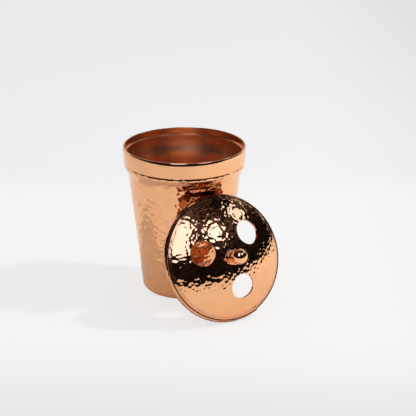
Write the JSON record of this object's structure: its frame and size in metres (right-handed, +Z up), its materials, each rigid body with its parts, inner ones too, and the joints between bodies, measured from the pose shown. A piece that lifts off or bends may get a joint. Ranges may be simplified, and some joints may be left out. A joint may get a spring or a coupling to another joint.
{
  "type": "lidded tumbler",
  "caption": "Tapered hammered copper tumbler with a plain collar; its domed lid with round brush holes and a ball knob leans against it.",
  "frame": {"origin": "centre of the cup's base, where it stands on the table", "axes": "+Z up along the cup's axis, -Y towards the front, +X to the right; the lid leans on the front right"},
  "size_m": [0.1109, 0.1251, 0.1075],
  "materials": {
    "hammered_copper": "hand hammered, bright polished and lacquered copper",
    "plain_copper": "plain polished copper",
    "polished_copper": "turned and mirror polished, copper plated",
    "brass_fixings": "plain turned brass"
  },
  "bodies": {
    "cup": {"cup_body": "hammered_copper", "collar_band": "plain_copper"},
    "lid": {"lid_dome": "hammered_copper", "lid_edge_band": "hammered_copper", "lid_locating_ring": "plain_copper", "knob": "polished_copper", "knob_flange": "polished_copper", "knob_washer": "brass_fixings", "knob_screw": "brass_fixings"}
  },
  "joints": [
    {"name": "lid_away", "type": "slide", "parent": "cup", "child": "lid", "axis": [0.458, -0.8128, 0.36], "range_m": [0, 0.12]}
  ]
}
